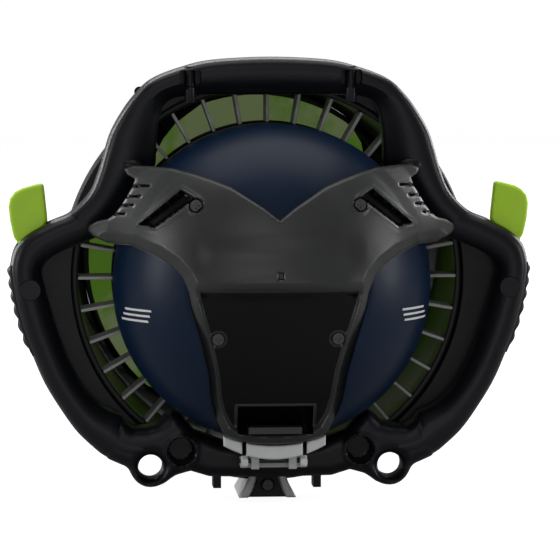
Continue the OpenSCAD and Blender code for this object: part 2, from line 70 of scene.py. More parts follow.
def add_camera():
    """A long lens from just above the nose, a little towards -X."""
    target = Vector((AIM_X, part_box("frame_arch")[0].y + AIM_BEHIND_FRONT, AIM_Z))
    away = Vector((
        math.sin(AZIMUTH) * math.cos(ELEVATION),
        -math.cos(AZIMUTH) * math.cos(ELEVATION),
        math.sin(ELEVATION),
    ))
    data = bpy.data.cameras.new("camera")
    data.sensor_width = SENSOR
    data.lens = SENSOR * CAMERA_DISTANCE / VIEW_WIDTH
    data.clip_start, data.clip_end = 0.1, 50.0
    camera = bpy.data.objects.new("camera", data)
    bpy.context.scene.collection.objects.link(camera)
    camera.location = target + away * CAMERA_DISTANCE
    camera.rotation_euler = (-away).to_track_quat("-Z", "Y").to_euler()
    bpy.context.scene.camera = camera


def add_light(name, at, size, power, aim=(0, 0, 0.17)):
    """A white rectangular lamp, facing what it aims at."""
    data = bpy.data.lights.new(name, "AREA")
    data.shape = "RECTANGLE"
    data.size, data.size_y = size
    data.energy = power
    lamp = bpy.data.objects.new(name, data)
    bpy.context.scene.collection.objects.link(lamp)
    lamp.location = at
    lamp.rotation_euler = (Vector(aim) - Vector(at)).to_track_quat("-Z", "Y").to_euler()


def new_material(name):
    mat = bpy.data.materials.new(name)
    mat.use_nodes = True
    return mat, mat.node_tree.nodes, mat.node_tree.links, mat.node_tree.nodes["Principled BSDF"]


def seen_strength(nodes, links, seen, other):
    """A strength that is one number for what the camera sees and another for the light it gives."""
    path = nodes.new("ShaderNodeLightPath")
    mix = nodes.new("ShaderNodeMapRange")
    mix.inputs["To Min"].default_value = other
    mix.inputs["To Max"].default_value = seen
    links.new(path.outputs["Is Camera Ray"], mix.inputs["Value"])
    return mix.outputs["Result"]


def add_world():
    world = bpy.data.worlds.new("studio")
    bpy.context.scene.world = world
    world.use_nodes = True
    nodes, links = world.node_tree.nodes, world.node_tree.links
    nodes["Background"].inputs["Color"].default_value = (1, 1, 1, 1)
    links.new(seen_strength(nodes, links, 1.0, WORLD_GLOW), nodes["Background"].inputs["Strength"])


def add_stage():
    """A pale floor that sweeps up into a wall behind the machine."""
    mat, nodes, links, bsdf = new_material("stage_white")
    bsdf.inputs["Base Color"].default_value = (STAGE_GREY, STAGE_GREY, STAGE_GREY, 1)
    bsdf.inputs["Roughness"].default_value = 0.9
    bsdf.inputs["Specular IOR Level"].default_value = 0.0
    bsdf.inputs["Emission Color"].default_value = (1, 1, 1, 1)
    links.new(seen_strength(nodes, links, STAGE_GLOW, 0.0), bsdf.inputs["Emission Strength"])
    bm = bmesh.new()
    profile = [(FLOOR_FRONT, 0.0), (FLOOR_BACK, 0.0)]
    profile += [(FLOOR_BACK + math.sin(a) * SWEEP_R, SWEEP_R - math.cos(a) * SWEEP_R)
                for a in [math.radians(d) for d in range(10, 91, 10)]]
    profile += [(FLOOR_BACK + SWEEP_R, WALL_TOP)]
    rows = [[bm.verts.new((x, y, z - FLOOR_DROP)) for x in (-STAGE_HALF_WIDTH, STAGE_HALF_WIDTH)]
            for y, z in profile]
    for a, b in zip(rows, rows[1:]):
        bm.faces.new((a[0], a[1], b[1], b[0]))
    floor = add_mesh("stage_floor", bm)
    floor.data.materials.append(mat)


def add_mesh(name, bm, angle=35):
    """An object from a bmesh, smooth apart from edges sharper than the angle."""
    mesh = bpy.data.meshes.new(name)
    bm.normal_update()
    bm.to_mesh(mesh)
    bm.free()
    mesh.shade_smooth()
    mesh.set_sharp_from_angle(angle=math.radians(angle))
    obj = bpy.data.objects.new(name, mesh)
    bpy.context.scene.collection.objects.link(obj)
    return obj


# ---- Materials ----

GLOSS_SCALE, GLOSS_LOWER, GLOSS_HIGHER = 55, 0.06, 0.07
GRAIN_SCALE, GRAIN_STRENGTH = 900, 0.35


def noise_at(nodes, links, scale, detail, rough):
    coords = nodes.new("ShaderNodeTexCoord")
    noise = nodes.new("ShaderNodeTexNoise")
    noise.inputs["Scale"].default_value = scale
    noise.inputs["Detail"].default_value = detail
    noise.inputs["Roughness"].default_value = rough
    links.new(coords.outputs["Object"], noise.inputs["Vector"])
    return noise


def ramp_between(nodes, links, source, low, high, at):
    ramp = nodes.new("ShaderNodeValToRGB")
    ramp.color_ramp.elements[0].position, ramp.color_ramp.elements[1].position = at
    ramp.color_ramp.elements[0].color = (*low, 1)
    ramp.color_ramp.elements[1].color = (*high, 1)
    links.new(source, ramp.inputs["Fac"])
    return ramp.outputs["Color"]


def plastic(name, colour, rough=0.4, grain=0.0004, vary=0.12, specular=0.5, metallic=0.0,
            patch=14, painted_glow=0.0, pale=None, blend=(0.35, 0.65)):
    """Moulded plastic or metal: slow colour drift, patchy gloss, fine grain and maybe painted light, an emission
    in its own tint.
    """
    mat, nodes, links, bsdf = new_material(name)
    drift = noise_at(nodes, links, patch, 5, 0.6)
    low = tuple(c * (1 - vary) for c in colour)
    high = pale or tuple(min(1, c * (1 + vary) + 0.002) for c in colour)
    tint = ramp_between(nodes, links, drift.outputs["Fac"], low, high, blend)
    links.new(tint, bsdf.inputs["Base Color"])
    gloss = noise_at(nodes, links, GLOSS_SCALE, 6, 0.65)
    spread = nodes.new("ShaderNodeMapRange")
    spread.inputs["To Min"].default_value = max(0.02, rough - GLOSS_LOWER)
    spread.inputs["To Max"].default_value = rough + GLOSS_HIGHER
    links.new(gloss.outputs["Fac"], spread.inputs["Value"])
    links.new(spread.outputs["Result"], bsdf.inputs["Roughness"])
    if grain:
        fine = noise_at(nodes, links, GRAIN_SCALE, 2, 0.5)
        bump = nodes.new("ShaderNodeBump")
        bump.inputs["Strength"].default_value = GRAIN_STRENGTH
        bump.inputs["Distance"].default_value = grain
        links.new(fine.outputs["Fac"], bump.inputs["Height"])
        links.new(bump.outputs["Normal"], bsdf.inputs["Normal"])
    bsdf.inputs["Metallic"].default_value = metallic
    bsdf.inputs["Specular IOR Level"].default_value = specular
    # Painted light: the tint is also sent out as emission, so the part shines though it is no lamp.
    if painted_glow:
        links.new(tint, bsdf.inputs["Emission Color"])
        bsdf.inputs["Emission Strength"].default_value = painted_glow
    return mat


MATERIALS = {
    "frame_plastic": plastic("frame_plastic", (0.0042, 0.0045, 0.0075), rough=0.38, grain=0.0003,
                             specular=0.32),
    "cover_plastic": plastic("cover_plastic", (0.032, 0.033, 0.034), rough=0.36, grain=0.0004),
    "dome_gloss": plastic("dome_gloss", (0.0010, 0.0110, 0.035), rough=0.38, grain=0,
                          specular=0.24),
    "grip_rubber": plastic("grip_rubber", (0.013, 0.013, 0.014), rough=0.62, grain=0.0006),
    "trigger_lime": plastic("trigger_lime", (0.50, 0.84, 0.03), rough=0.38, grain=0.0002,
                            vary=0.05),
    # The propeller's emission is painted light that lifts its blades out of the duct's shade.
    "propeller_green": plastic("propeller_green", (0.22, 0.48, 0.05), rough=0.5, patch=12, painted_glow=0.2,
                               pale=(0.38, 0.48, 0.22), blend=(0.46, 0.54)),
    "fin_grey": plastic("fin_grey", (0.58, 0.59, 0.58), rough=0.42),
    "light_plastic": plastic("light_plastic", (0.80, 0.81, 0.81), rough=0.45, vary=0.06),
    "steel": plastic("steel", (0.06, 0.06, 0.065), rough=0.32, metallic=1.0, grain=0.0001),
    "black_gloss": plastic("black_gloss", (0.002, 0.002, 0.003), rough=0.18, grain=0,
                           specular=0.25),
    "seal_rubber": plastic("seal_rubber", (0.16, 0.04, 0.03), rough=0.6),
    "cell_wrap": plastic("cell_wrap", (0.04, 0.11, 0.3), rough=0.3),
    "board": plastic("board", (0.01, 0.09, 0.03), rough=0.35),
    "aluminium": plastic("aluminium", (0.6, 0.61, 0.63), rough=0.38, metallic=1.0),
    "lamination": plastic("lamination", (0.25, 0.26, 0.28), rough=0.4, metallic=1.0),
    "copper": plastic("copper", (0.55, 0.22, 0.08), rough=0.35, metallic=1.0),
}


def paint(obj, slot, second=None):
    """Gives an object its material, and a second one for the faces already marked for it."""
    marks = [p.material_index for p in obj.data.polygons] if second else []
    obj.data.materials.clear()
    obj.data.materials.append(MATERIALS[slot])
    if second:
        obj.data.materials.append(MATERIALS[second])
        obj.data.polygons.foreach_set("material_index", marks)


WELD_GAP, SOFT_EDGE, SOFT_ANGLE = 0.00001, 0.0006, math.radians(38)


def dress_cad_nodes():
    """Gives each CAD node its material and softened edges."""
    for part in frame["record"]["subparts"]:
        obj = NODES[part["node"]]
        paint(obj, part["material_slot"])
        for polygon in obj.data.polygons:
            polygon.material_index = 0
        weld = obj.modifiers.new("weld", "WELD")
        weld.merge_threshold = WELD_GAP
        bevel = obj.modifiers.new("soften", "BEVEL")
        bevel.width = SOFT_EDGE
        bevel.segments = 2
        bevel.limit_method = "ANGLE"
        bevel.angle_limit = SOFT_ANGLE
        bevel.harden_normals = False


# ---- Shared shape tools ----
# Millimetres round the drive axis: x across, z up, y along it. Depths run from MID_Y to the nose.

AXIS_Z = joint_place("propeller_spin")[2] / MM
FRONT_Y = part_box("frame_arch")[0].y / MM
REAR_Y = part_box("frame_arch")[1].y / MM
MID_Y = (FRONT_Y + REAR_Y) / 2
HALF_DEPTH = (REAR_Y - FRONT_Y) / 2

RING_OUT = [
    (0, 167), (42, 165), (65, 160), (88, 151), (102, 138), (112, 124), (119, 111), (123, 99),
    (128, 82), (135, 66), (149, 52), (165, 45), (180, 37), (190, 27), (194, 13), (193, -3),
    (190, -19), (185, -37), (178, -55), (169, -76), (157, -96), (144, -114), (128, -129),
]
RING_IN = [
    (0, 139), (38, 139), (60, 138.5), (75, 135), (81, 127), (84, 113), (85, 100), (86, 86),
    (94.5, 75), (108, 55), (123, 37), (140, 29), (157, 22), (167, 15), (170.5, 7), (168, -5),
    (164.5, -18), (160, -33), (154.5, -49), (147, -66), (137, -82), (126, -93), (112, -100),
]
STEPS = 6  # points of the smooth line for each point of an outline
SHOULDER = 10 * STEPS  # where the arch ends and the handles begin
GRIP_FIRST, GRIP_LAST = 14 * STEPS, 18 * STEPS
EDGE_BAND, PULLS, NUDGE = 0.55, 3, 0.02  # how relief() finds and meets an outline


def place(x, y, z):
    """A point round the drive axis in millimetres, as one of the frame in metres."""
    return (x * MM, y * MM, (AXIS_Z + z) * MM)


def smooth_line(points):
    """Catmull-Rom through half an outline, mirrored before its first point."""
    pts = [np.array((-points[1][0], points[1][1]))] + [np.array(p, float) for p in points]
    pts.append(pts[-1])
    line = []
    for a, b, c, d in zip(pts, pts[1:], pts[2:], pts[3:]):
        for k in range(STEPS):
            t = k / STEPS
            line.append(0.5 * (2 * b + (c - a) * t + (2 * a - 5 * b + 4 * c - d) * t * t
                               + (3 * b - a - 3 * c + d) * t ** 3))
    line.append(pts[-1])
    return line


RING_O = smooth_line(RING_OUT)
RING_I = smooth_line(RING_IN)


def smoothstep(x):
    x = np.clip(x, 0, 1)
    return x * x * (3 - 2 * x)


def smooth_min(a, b, k):
    h = np.clip(0.5 + 0.5 * (b - a) / k, 0, 1)
    return b + (a - b) * h - k * h * (1 - h)


def in_polygon(points):
    """A signed distance to a closed outline, positive inside."""
    p = np.array(points, float)
    q = np.roll(p, -1, axis=0)

    def distance(x, z):
        best = np.full(x.shape, 1e9)
        inside = np.zeros(x.shape, bool)
        for (ax, az), (bx, bz) in zip(p, q):
            ex, ez = bx - ax, bz - az
            t = np.clip(((x - ax) * ex + (z - az) * ez) / (ex * ex + ez * ez + 1e-12), 0, 1)
            best = np.minimum(best, np.hypot(x - ax - t * ex, z - az - t * ez))
            if ez:
                inside ^= ((az > z) != (bz > z)) & (x < ax + (z - az) / ez * ex)
        return np.where(inside, best, -best)

    return distance


def to_line(points):
    """Distance to an open line."""
    p = np.array(points, float)

    def distance(x, z):
        best = np.full(x.shape, 1e9)
        for (ax, az), (bx, bz) in zip(p, p[1:]):
            ex, ez = bx - ax, bz - az
            t = np.clip(((x - ax) * ex + (z - az) * ez) / (ex * ex + ez * ez), 0, 1)
            best = np.minimum(best, np.hypot(x - ax - t * ex, z - az - t * ez))
        return best

    return distance


def mirrored(points):
    """A closed outline from its right half, given from the top down."""
    left = [(-x, z) for x, z in reversed(points) if x > 0]
    return list(points) + left


def relief(name, box, step, inside, front, back, dark=None):
    """A closed plate: a grid cut to the outline where inside() is 0, with a front and a back depth.

    Grid points near the outline are pulled on to it. Faces where dark() is above 0 get material 1.
    """
    x0, x1, z0, z1 = box
    nx, nz = int((x1 - x0) / step) + 2, int((z1 - z0) / step) + 2
    x, z = np.meshgrid(x0 + np.arange(nx) * step, z0 + np.arange(nz) * step, indexing="ij")
    sd = inside(x, z)
    near = np.abs(sd) < EDGE_BAND * step
    for _ in range(PULLS):
        gx = (inside(x + NUDGE, z) - inside(x - NUDGE, z)) / (2 * NUDGE)
        gz = (inside(x, z + NUDGE) - inside(x, z - NUDGE)) / (2 * NUDGE)
        length = np.hypot(gx, gz) + 1e-9
        x = np.where(near, x - sd * gx / length, x)
        z = np.where(near, z - sd * gz / length, z)
        sd = inside(x, z)
    sd = np.where(near, 0.0, sd)
    keep = near | (sd > 0)
    fy, by = MID_Y - front(x, z, sd), MID_Y - back(x, z, sd)
    index = -np.ones(x.shape, int)
    verts = []
    for i, j in zip(*np.nonzero(keep)):
        index[i, j] = len(verts)
        verts.append((x[i, j], fy[i, j], z[i, j]))
    count = len(verts)
    verts += [(x[i, j], by[i, j], z[i, j]) for i, j in zip(*np.nonzero(keep))]
    faces = []
    for i in range(nx - 1):
        for j in range(nz - 1):
            cell = [(i, j), (i + 1, j), (i + 1, j + 1), (i, j + 1)]
            ids = [index[c] for c in cell if index[c] >= 0]
            if len(ids) < 3:
                continue
            used = [c for c in cell if index[c] >= 0]
            if all(near[c] for c in used):
                cx, cz = np.mean([x[c] for c in used]), np.mean([z[c] for c in used])
                if inside(np.array([cx]), np.array([cz]))[0] < 0.05 * step:
                    continue
            faces.append(ids)
    edges = {(a, b): True for f in faces for a, b in zip(f, f[1:] + f[:1])}
    rim = [(a, b) for a, b in edges if (b, a) not in edges]
    bm = bmesh.new()
    made = {}
    for v in sorted({v for f in faces for v in f}):
        made[v] = bm.verts.new(place(*verts[v]))
        made[v + count] = bm.verts.new(place(*verts[v + count]))
    for f in faces:
        face = bm.faces.new([made[v] for v in f])
        if dark:
            centre = np.mean([verts[v] for v in f], axis=0)
            face.material_index = int(dark(np.array([centre[0]]), np.array([centre[2]]))[0] > 0)
        bm.faces.new([made[v + count] for v in reversed(f)])
    for a, b in rim:
        bm.faces.new([made[b], made[a], made[a + count], made[b + count]])
    bmesh.ops.recalc_face_normals(bm, faces=bm.faces)
    return add_mesh(name, bm, angle=42)


def rounded(depth, radius):
    """How far a face sinks near its edge, for an edge rounded to a radius."""
    d = np.clip(depth / radius, 0, 1)
    return radius * (1 - np.sqrt(np.clip(1 - (1 - d) ** 2, 0, 1)))


def loft(name, rings, angle=40):
    """A closed skin through rings of points, with capped ends."""
    bm = bmesh.new()
    rows = [[bm.verts.new(place(*p)) for p in ring] for ring in rings]
    n = len(rows[0])
    for a, b in zip(rows, rows[1:]):
        for k in range(n):
            bm.faces.new((a[k], a[(k + 1) % n], b[(k + 1) % n], b[k]))
    bm.faces.new(rows[0][::-1])
    bm.faces.new(rows[-1])
    bmesh.ops.recalc_face_normals(bm, faces=bm.faces)
    return add_mesh(name, bm, angle=angle)


def turned(name, profile, count):
    """A closed turned solid about the drive axis from a closed loop of (radius, y) points."""
    bm = bmesh.new()
    rows = []
    for k in range(count):
        a = 2 * math.pi * k / count
        rows.append([bm.verts.new(place(r * math.sin(a), y, r * math.cos(a))) for r, y in profile])
    m = len(profile)
    for a, b in zip(rows, rows[1:] + rows[:1]):
        for k in range(m):
            bm.faces.new((a[k], a[(k + 1) % m], b[(k + 1) % m], b[k]))
    bmesh.ops.remove_doubles(bm, verts=bm.verts, dist=1e-7)
    bmesh.ops.recalc_face_normals(bm, faces=bm.faces)
    return add_mesh(name, bm, angle=30)


def boolean(target, cutter, how="DIFFERENCE"):
    """Cuts a target by a cutter, or joins them, and drops the cutter."""
    mod = target.modifiers.new("cut", "BOOLEAN")
    mod.operation, mod.object, mod.solver = how, cutter, "EXACT"
    graph = bpy.context.evaluated_depsgraph_get()
    mesh = bpy.data.meshes.new_from_object(target.evaluated_get(graph))
    target.modifiers.clear()
    target.data = mesh
    bpy.data.objects.remove(cutter)
    mesh.shade_smooth()
    mesh.set_sharp_from_angle(angle=math.radians(35))


def box_mesh(name, low, high, turn=0.0, about=(0, 0)):
    """A block with softened edges, turned about Y at a point of the front view."""
    bm = bmesh.new()
    bmesh.ops.create_cube(bm, size=1)
    for v in bm.verts:
        p = [low[k] + (v.co[k] + 0.5) * (high[k] - low[k]) for k in range(3)]
        c, s = math.cos(turn), math.sin(turn)
        x, z = p[0] * c + p[2] * s + about[0], -p[0] * s + p[2] * c + about[1]
        v.co = Vector(place(x, p[1], z))
    bmesh.ops.bevel(bm, geom=list(bm.edges), offset=0.8 * MM, segments=2, affect="EDGES")
    return add_mesh(name, bm)


def cylinder_mesh(name, radius, start, end, count=48):
    """A rod between two points of the front frame."""
    a, b = Vector(place(*start)), Vector(place(*end))
    bm = bmesh.new()
    bmesh.ops.create_cone(bm, cap_ends=True, segments=count, radius1=radius * MM,
                          radius2=radius * MM, depth=(b - a).length)
    turn = (b - a).to_track_quat("Z", "Y").to_matrix().to_4x4()
    bmesh.ops.transform(bm, matrix=turn, verts=bm.verts)
    bmesh.ops.translate(bm, vec=(a + b) / 2, verts=bm.verts)
    return add_mesh(name, bm)


def finish_piece(obj, body, slot, *replaced, second=None):
    """Gives a piece its material and the body it rides on, and hides the CAD nodes it stands for."""
    paint(obj, slot, second)
    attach(obj, body)
    if replaced:
        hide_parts(*replaced)
    return obj


# ---- Ring frame ----


def frame_ring(outer, inner, power, ledge):
    """Points round one section between the two edges; a ledge lets the front fall away inwards."""
    o, i = np.array(outer, float), np.array(inner, float)
    a = np.linalg.norm(o - i) / 2
    e, m = (o - i) / (2 * a), (o + i) / 2
    ring = []
    count = 40
    for k in range(count):
        t = 2 * math.pi * k / count
        u = math.copysign(abs(math.cos(t)) ** (2 / power), math.cos(t))
        v = math.copysign(abs(math.sin(t)) ** (2 / power), math.sin(t))
        if v < 0:
            v *= 1 - ledge * float(smoothstep(np.array((-u - 0.05) / 0.75)))
        p = m + e * a * u
        ring.append((p[0], MID_Y + HALF_DEPTH * v, p[1]))
    return ring


def ring_stations(first, last, mirror=1):
    """Pairs of outer and inner points along the frame, on one side of it."""
    return [((mirror * RING_O[s][0], RING_O[s][1]), (mirror * RING_I[s][0], RING_I[s][1]))
            for s in range(first, last + 1)]


ARCH_POWER, ARCH_LEDGE = 4.2, 0.34
HANDLE_POWER, END_POWER, HANDLE_LEDGE = 3.0, 2.8, 0.16
BOSS_X, BOSS_Z, BOSS_SIZE = 105, 86, (12, 11, 9)
POST_X, NOTCH_HALF, POST_HOLE_R = 60, 8, 4.4
CAP_X, CAP_Z, CAP_R = 179.5, -5, 8.0


def build_arch():
    """The top arch with its two notches and post holes, and a boss at each shoulder."""
    stations = ring_stations(1, SHOULDER, -1)[::-1] + ring_stations(0, SHOULDER)
    arch = loft("arch_skin", [frame_ring(o, i, ARCH_POWER, ARCH_LEDGE) for o, i in stations])
    for side in (-1, 1):
        x, y = side * POST_X, FRONT_Y + 7
        boolean(arch, box_mesh("notch", (x - NOTCH_HALF, FRONT_Y - 3, 146),
                               (x + NOTCH_HALF, FRONT_Y + 14, 158)))
        boolean(arch, cylinder_mesh("post_hole", POST_HOLE_R, (x, y, 128), (x, y, 160.5)))
    finish_piece(arch, "hull", "frame_plastic", "frame_arch")
    for side, tag in SIDES:
        bm = bmesh.new()
        bmesh.ops.create_icosphere(bm, subdivisions=4, radius=1)
        for v in bm.verts:
            x, y, z = v.co
            swell = 1 + 0.16 * max(0.0, -z)
            v.co = Vector(place(side * (BOSS_X + BOSS_SIZE[0] * x * swell),
                                FRONT_Y + 9 + BOSS_SIZE[1] * y,
                                BOSS_Z + BOSS_SIZE[2] * z + 1.5 * x))
        boss = add_mesh(f"shoulder_boss_{tag}", bm)
        if side < 0:
            boss.data.flip_normals()
        finish_piece(boss, "hull", "frame_plastic")


PIVOT = (178, 31)
TILT = math.radians(30)
SLOT_HALF = 8
HANDLE_END = [
    ((121, -133.5), (108, -106)), ((114, -136.5), (102, -110)), ((107, -136), (97, -113)),
    ((101, -133), (94, -116.5)), ((98, -129.5), (93.5, -120)),
]


def along_pin(s):
    """The point of the front view s from the trigger's pivot, along its pin."""
    return PIVOT[0] + s * math.cos(TILT), PIVOT[1] - s * math.sin(TILT)


def build_handle(side, name):
    """A side loop of the frame, with a slot for its trigger and a seat for its cap."""
    rings = [frame_ring(o, i, HANDLE_POWER, HANDLE_LEDGE)
             for o, i in ring_stations(SHOULDER, len(RING_O) - 1, side)]
    rings += [frame_ring((side * o[0], o[1]), (side * i[0], i[1]), END_POWER, HANDLE_LEDGE)
              for o, i in HANDLE_END]
    shape = loft(f"{name}_skin", rings)
    slot = box_mesh("slot", (-19.5, MID_Y - SLOT_HALF, -9.5), (12, MID_Y + SLOT_HALF, 40),
                    TILT, PIVOT)
    if side < 0:
        for v in slot.data.vertices:
            v.co.x = -v.co.x
        slot.data.flip_normals()
    boolean(shape, slot)
    boolean(shape, cylinder_mesh("cap_seat", CAP_R, (side * CAP_X, FRONT_Y - 3, CAP_Z),
                                 (side * CAP_X, FRONT_Y + 3, CAP_Z)))
    finish_piece(shape, "hull", "frame_plastic", name)


PAD_HALF, PAD_SUNK = 11, 3


def build_grips():
    """Rubber pads with rounded ribs on the outer faces of both handles."""
    fine, rib_length = 4, 15
    count = (GRIP_LAST - GRIP_FIRST) * fine
    for side, tag in SIDES:
        rings = []
        for k in range(count + 1):
            s = GRIP_FIRST + k / fine
            lo = min(int(s), GRIP_LAST - 1)
            t = s - lo
            o = RING_O[lo] * (1 - t) + RING_O[lo + 1] * t
            i = RING_I[lo] * (1 - t) + RING_I[lo + 1] * t
            e = (o - i) / np.linalg.norm(o - i)
            fade = float(smoothstep(np.array(min(k, count - k) / 8)))
            rib = 0.5 - 0.5 * math.cos(2 * math.pi * k / rib_length)
            high = (0.5 + 1.9 * rib ** 0.6) * fade
            ring = []
            for j in range(13):
                w = -1 + 2 * j / 12
                rise = high * (1 - abs(w) ** 4)
                ring.append((side * (o[0] + e[0] * rise), MID_Y + PAD_HALF * w, o[1] + e[1] * rise))
            ring += [(side * (o[0] - PAD_SUNK * e[0]), MID_Y + PAD_HALF * w, o[1] - PAD_SUNK * e[1])
                     for w in (1, -1)]
            rings.append(ring)
        pad = loft(f"grip_{tag}_ribs", rings, angle=60)
        finish_piece(pad, "hull", "grip_rubber", *(["grip_pads"] if side > 0 else []))


EYE, EYE_R, EYE_HOLE_R = (90, -139.5), 15.2, 9.25
SOCKET, SOCKET_R, SOCKET_HOLE_R, SOCKET_DEEP = (67, -127), 13.5, 10, 21
BASE_EDGE = [
    (0, -125), (36, -121), (57, -113), (63, -106), (68, -100), (74, -98), (78, -101), (84, -107),
    (92, -109.5), (102.6, -110), (112, -104), (128, -122), (122, -133), (112, -137.5), (105, -140),
    (92, -150), (80, -149.5), (70, -145.5), (60, -142.7), (46, -147), (0, -148),
]


def build_base():
    """Bottom of the frame, with the eyes and sockets blended into it."""
    band = in_polygon(mirrored(BASE_EDGE))

    def inside(x, z):
        ax = np.abs(x)
        eye = EYE_R - np.hypot(ax - EYE[0], z - EYE[1])
        socket = SOCKET_R - np.hypot(ax - SOCKET[0], z - SOCKET[1])
        body = -smooth_min(-band(x, z), -socket, 3.0)
        body = -smooth_min(-body, -eye, 6.0)
        return np.minimum(body, np.hypot(ax - EYE[0], z - EYE[1]) - EYE_HOLE_R)

    def front(x, z, sd):
        hole = SOCKET_HOLE_R - np.hypot(np.abs(x) - SOCKET[0], z - SOCKET[1])
        rim = np.exp(-((hole + 1.8) / 1.4) ** 2)
        return HALF_DEPTH - 0.3 - rounded(sd, 9) + 1.4 * rim - SOCKET_DEEP * smoothstep(hole / 1.1)

    def back(x, z, sd):
        return -HALF_DEPTH + 0.2 + rounded(sd, 7)

    obj = relief("frame_base_skin", (-130, 130, -156, -98), 1.3, inside, front, back)
    finish_piece(obj, "hull", "frame_plastic", "frame_base")


# ---- Nose cover ----

COVER_EDGE = [
    (0, 53), (11, 61.5), (34, 76), (47, 81), (60, 85), (75, 88), (92, 88.6), (104, 88.2),
    (109.5, 85.5), (107.5, 81.5), (102, 79), (104, 73.5), (108.5, 66), (113, 58.5), (117.5, 53),
    (121.5, 49.5), (130, 47), (136, 43), (136.5, 39.5), (133, 36), (122, 31.5), (106, 31.5),
    (90, 26), (78, 18.5), (71, 11), (66.5, 0), (64, -11), (57, -35), (51, -60), (48, -83),
    (44, -97), (39, -108), (32, -112.5), (18, -116.5), (0, -117.5),
]
CHIN_EDGE = [(69, 16), (66.5, 0), (64, -11), (57, -35), (51, -60), (48, -83), (44, -97),
             (39, -107), (32, -112.5), (18, -116.5), (0, -117.5)]
LOWER_EDGE = COVER_EDGE[20:]
DOME_R, DOME_DEPTH, DOME_SEAT, COVER_T = 118.5, 90, 22, 6
CHIN_TOP, CHIN_LOW = (9, 119), (-83, 74)
CHIN_SUNK, RAIL_WIDTH = 8.9, 9
UPPER_SCREW, LOWER_SCREW, SCREW_SEAT_R = (60, 63), (44, -35), 5.4
HAND_HALF_WIDTH, HAND_HALF_HEIGHT, HAND_Z, HAND_DEEP = 28, 10.5, -98.5, 12.5
WINDOW_HALF_WIDTH, WINDOW_HALF_HEIGHT, WINDOW_Z, WINDOW_DEEP = 2.4, 2.9, 13.5, 1.4
VENT, VENT_DEEP = [(102.3, 46.8), (89, 45.2), (59.2, 68.2), (70, 74.2)], 6.5
GILLS, GILL_DEEP = ((99, 75.2, 13), (105, 67.4, 12), (110, 60.8, 11), (115.5, 54.2, 10)), 3.0


def cover_surface(x, z):
    """Depth of the cover before its details: over the dome, flared, and cut by the chin."""
    r = np.hypot(x, z)
    height = np.sqrt(np.clip(1 - (r / (DOME_R + COVER_T)) ** 2, 0, 1))
    over = DOME_SEAT + (DOME_DEPTH + COVER_T) * height
    flare = np.interp(r, [110.9, 118, 130, 142, 150], [65.6, 57, 40, 26.5, 24])
    shell = np.where(r < 110.9, over, flare)
    slope = (CHIN_TOP[1] - CHIN_LOW[1]) / (CHIN_TOP[0] - CHIN_LOW[0])
    chin = CHIN_TOP[1] + slope * (z - CHIN_TOP[0])
    middle = smoothstep((64 - np.abs(x)) / 16)
    ridge = 1.5 * np.exp(-((z - 6) / 8) ** 2) - 2.4 * np.exp(-((z - 30) / 10) ** 2)
    return smooth_min(shell, chin, 7.0) + middle * ridge


def hand_recess(ax, z, inset=0.0):
    """Above 0 inside the recess for a hand, less an inset."""
    return np.minimum(HAND_HALF_WIDTH - inset - ax, HAND_HALF_HEIGHT - inset - np.abs(z - HAND_Z))


def status_window(ax, z, inset=0.0):
    """Above 0 inside the status light's window, less an inset."""
    return np.minimum(WINDOW_HALF_WIDTH - inset - ax,
                      WINDOW_HALF_HEIGHT - inset - np.abs(z - WINDOW_Z))


def chin_sink(edge, z, start, run):
    """How far, from 0 to 1, the chin has sunk at a distance inside its edge."""
    return smoothstep((9 - z) / 15) * smoothstep((edge - start) / run)


